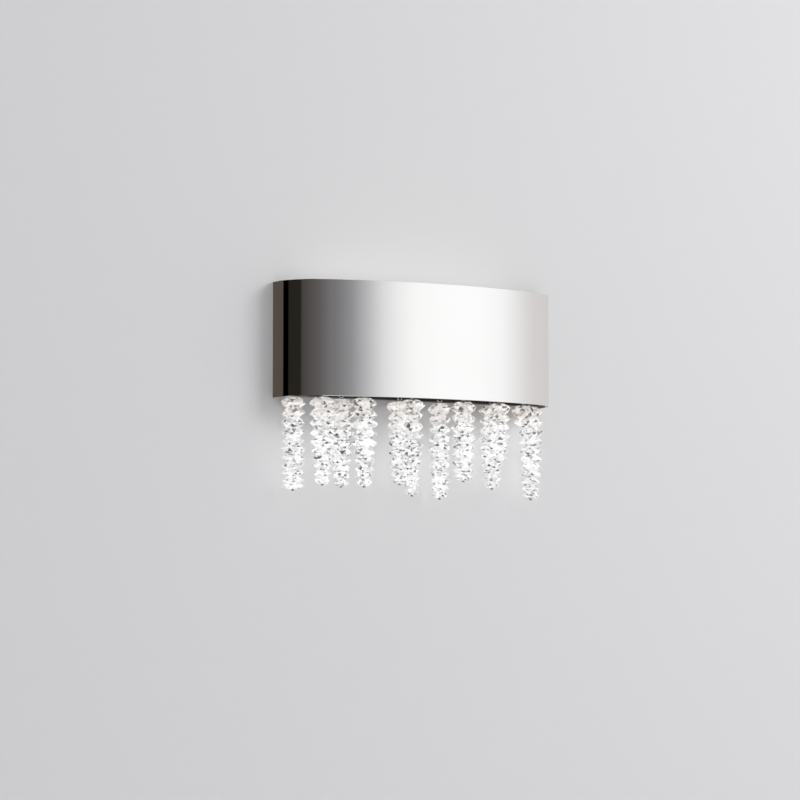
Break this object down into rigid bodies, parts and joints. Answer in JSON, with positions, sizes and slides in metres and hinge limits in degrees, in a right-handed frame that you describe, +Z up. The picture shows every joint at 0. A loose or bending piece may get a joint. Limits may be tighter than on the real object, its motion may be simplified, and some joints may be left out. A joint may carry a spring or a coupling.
{
  "type": "crystal wall sconce",
  "caption": "Bowed polished-steel wall light, open above and below, with strands of rough-cut crystals hanging from its underside.",
  "frame": {"origin": "on the wall plane, at the middle of the crossbar's two junction-box slots, which is behind the middle of the band", "axes": "+X along the wall to the viewer's right, +Y into the wall, +Z up"},
  "size_m": [0.305, 0.07, 0.2034],
  "materials": {
    "polished_steel": "mirror polished stainless steel",
    "black_paint": "satin black powder coat",
    "zinc_plate": "zinc plated steel",
    "screw_steel": "plated steel",
    "ground_green": "green dyed zinc",
    "opal_acrylic": "frosted opal acrylic",
    "bare_aluminium": "mill finish",
    "board_white": "white solder mask",
    "led_phosphor": "phosphor gel in a white frame",
    "driver_case": "moulded case",
    "terminal_grey": "moulded nylon",
    "hook_steel": "bright nickel plated wire",
    "crystal": "clear rough-cut crystal"
  },
  "bodies": {
    "fixture": {"band": "polished_steel", "band_screws": "screw_steel", "wall_tray": "black_paint", "mounting_screws": "screw_steel", "crossbar": "zinc_plate", "ground_screw": "ground_green", "crystal_plate": "black_paint", "upper_frame": "black_paint", "plate_and_frame_screws": "screw_steel", "upper_diffuser": "opal_acrylic", "lower_lens": "opal_acrylic", "led_carrier": "bare_aluminium", "carrier_screws": "screw_steel", "upper_led_board": "board_white", "lower_led_board": "board_white", "led_packages": "led_phosphor", "led_driver": "driver_case", "terminal_block": "terminal_grey"},
    "ring_01": {"ring_01": "hook_steel"},
    "strand_01": {"pin_01": "hook_steel", "crystals_01": "crystal"},
    "ring_02": {"ring_02": "hook_steel"},
    "strand_02": {"pin_02": "hook_steel", "crystals_02": "crystal"},
    "ring_03": {"ring_03": "hook_steel"},
    "strand_03": {"pin_03": "hook_steel", "crystals_03": "crystal"},
    "ring_04": {"ring_04": "hook_steel"},
    "strand_04": {"pin_04": "hook_steel", "crystals_04": "crystal"},
    "ring_05": {"ring_05": "hook_steel"},
    "strand_05": {"pin_05": "hook_steel", "crystals_05": "crystal"},
    "ring_06": {"ring_06": "hook_steel"},
    "strand_06": {"pin_06": "hook_steel", "crystals_06": "crystal"},
    "ring_07": {"ring_07": "hook_steel"},
    "strand_07": {"pin_07": "hook_steel", "crystals_07": "crystal"},
    "ring_08": {"ring_08": "hook_steel"},
    "strand_08": {"pin_08": "hook_steel", "crystals_08": "crystal"},
    "ring_09": {"ring_09": "hook_steel"},
    "strand_09": {"pin_09": "hook_steel", "crystals_09": "crystal"},
    "ring_10": {"ring_10": "hook_steel"},
    "strand_10": {"pin_10": "hook_steel", "crystals_10": "crystal"},
    "ring_11": {"ring_11": "hook_steel"},
    "strand_11": {"pin_11": "hook_steel", "crystals_11": "crystal"},
    "ring_12": {"ring_12": "hook_steel"},
    "strand_12": {"pin_12": "hook_steel", "crystals_12": "crystal"}
  },
  "joints": [
    {"name": "strand_01_sideways", "type": "hinge", "parent": "fixture", "child": "ring_01", "pos_m": [-0.14, -0.017, -0.04345], "axis": [0, 1, 0], "range_deg": [-5, 5]},
    {"name": "strand_01_in_and_out", "type": "hinge", "parent": "ring_01", "child": "strand_01", "pos_m": [-0.14, -0.017, -0.04985], "axis": [1, 0, 0], "range_deg": [-5, 3]},
    {"name": "strand_02_sideways", "type": "hinge", "parent": "fixture", "child": "ring_02", "pos_m": [-0.118, -0.034, -0.04345], "axis": [0, 1, 0], "range_deg": [-5, 5]},
    {"name": "strand_02_in_and_out", "type": "hinge", "parent": "ring_02", "child": "strand_02", "pos_m": [-0.118, -0.034, -0.04985], "axis": [1, 0, 0], "range_deg": [-5, 5]},
    {"name": "strand_03_sideways", "type": "hinge", "parent": "fixture", "child": "ring_03", "pos_m": [-0.087, -0.017, -0.04345], "axis": [0, 1, 0], "range_deg": [-5, 5]},
    {"name": "strand_03_in_and_out", "type": "hinge", "parent": "ring_03", "child": "strand_03", "pos_m": [-0.087, -0.017, -0.04985], "axis": [1, 0, 0], "range_deg": [-5, 3]},
    {"name": "strand_04_sideways", "type": "hinge", "parent": "fixture", "child": "ring_04", "pos_m": [-0.078, -0.044, -0.04345], "axis": [0, 1, 0], "range_deg": [-5, 5]},
    {"name": "strand_04_in_and_out", "type": "hinge", "parent": "ring_04", "child": "strand_04", "pos_m": [-0.078, -0.044, -0.04985], "axis": [1, 0, 0], "range_deg": [-5, 5]},
    {"name": "strand_05_sideways", "type": "hinge", "parent": "fixture", "child": "ring_05", "pos_m": [-0.0255, -0.046, -0.04345], "axis": [0, 1, 0], "range_deg": [-5, 5]},
    {"name": "strand_05_in_and_out", "type": "hinge", "parent": "ring_05", "child": "strand_05", "pos_m": [-0.0255, -0.046, -0.04985], "axis": [1, 0, 0], "range_deg": [-5, 5]},
    {"name": "strand_06_sideways", "type": "hinge", "parent": "fixture", "child": "ring_06", "pos_m": [-0.021, -0.017, -0.04345], "axis": [0, 1, 0], "range_deg": [-5, 5]},
    {"name": "strand_06_in_and_out", "type": "hinge", "parent": "ring_06", "child": "strand_06", "pos_m": [-0.021, -0.017, -0.04985], "axis": [1, 0, 0], "range_deg": [-5, 3]},
    {"name": "strand_07_sideways", "type": "hinge", "parent": "fixture", "child": "ring_07", "pos_m": [0.025, -0.017, -0.04345], "axis": [0, 1, 0], "range_deg": [-5, 5]},
    {"name": "strand_07_in_and_out", "type": "hinge", "parent": "ring_07", "child": "strand_07", "pos_m": [0.025, -0.017, -0.04985], "axis": [1, 0, 0], "range_deg": [-5, 3]},
    {"name": "strand_08_sideways", "type": "hinge", "parent": "fixture", "child": "ring_08", "pos_m": [0.033, -0.046, -0.04345], "axis": [0, 1, 0], "range_deg": [-5, 5]},
    {"name": "strand_08_in_and_out", "type": "hinge", "parent": "ring_08", "child": "strand_08", "pos_m": [0.033, -0.046, -0.04985], "axis": [1, 0, 0], "range_deg": [-5, 5]},
    {"name": "strand_09_sideways", "type": "hinge", "parent": "fixture", "child": "ring_09", "pos_m": [0.076, -0.044, -0.04345], "axis": [0, 1, 0], "range_deg": [-5, 5]},
    {"name": "strand_09_in_and_out", "type": "hinge", "parent": "ring_09", "child": "strand_09", "pos_m": [0.076, -0.044, -0.04985], "axis": [1, 0, 0], "range_deg": [-5, 5]},
    {"name": "strand_10_sideways", "type": "hinge", "parent": "fixture", "child": "ring_10", "pos_m": [0.086, -0.017, -0.04345], "axis": [0, 1, 0], "range_deg": [-5, 5]},
    {"name": "strand_10_in_and_out", "type": "hinge", "parent": "ring_10", "child": "strand_10", "pos_m": [0.086, -0.017, -0.04985], "axis": [1, 0, 0], "range_deg": [-5, 3]},
    {"name": "strand_11_sideways", "type": "hinge", "parent": "fixture", "child": "ring_11", "pos_m": [0.112, -0.034, -0.04345], "axis": [0, 1, 0], "range_deg": [-5, 5]},
    {"name": "strand_11_in_and_out", "type": "hinge", "parent": "ring_11", "child": "strand_11", "pos_m": [0.112, -0.034, -0.04985], "axis": [1, 0, 0], "range_deg": [-5, 5]},
    {"name": "strand_12_sideways", "type": "hinge", "parent": "fixture", "child": "ring_12", "pos_m": [0.1325, -0.017, -0.04345], "axis": [0, 1, 0], "range_deg": [-5, 5]},
    {"name": "strand_12_in_and_out", "type": "hinge", "parent": "ring_12", "child": "strand_12", "pos_m": [0.1325, -0.017, -0.04985], "axis": [1, 0, 0], "range_deg": [-5, 3]}
  ]
}
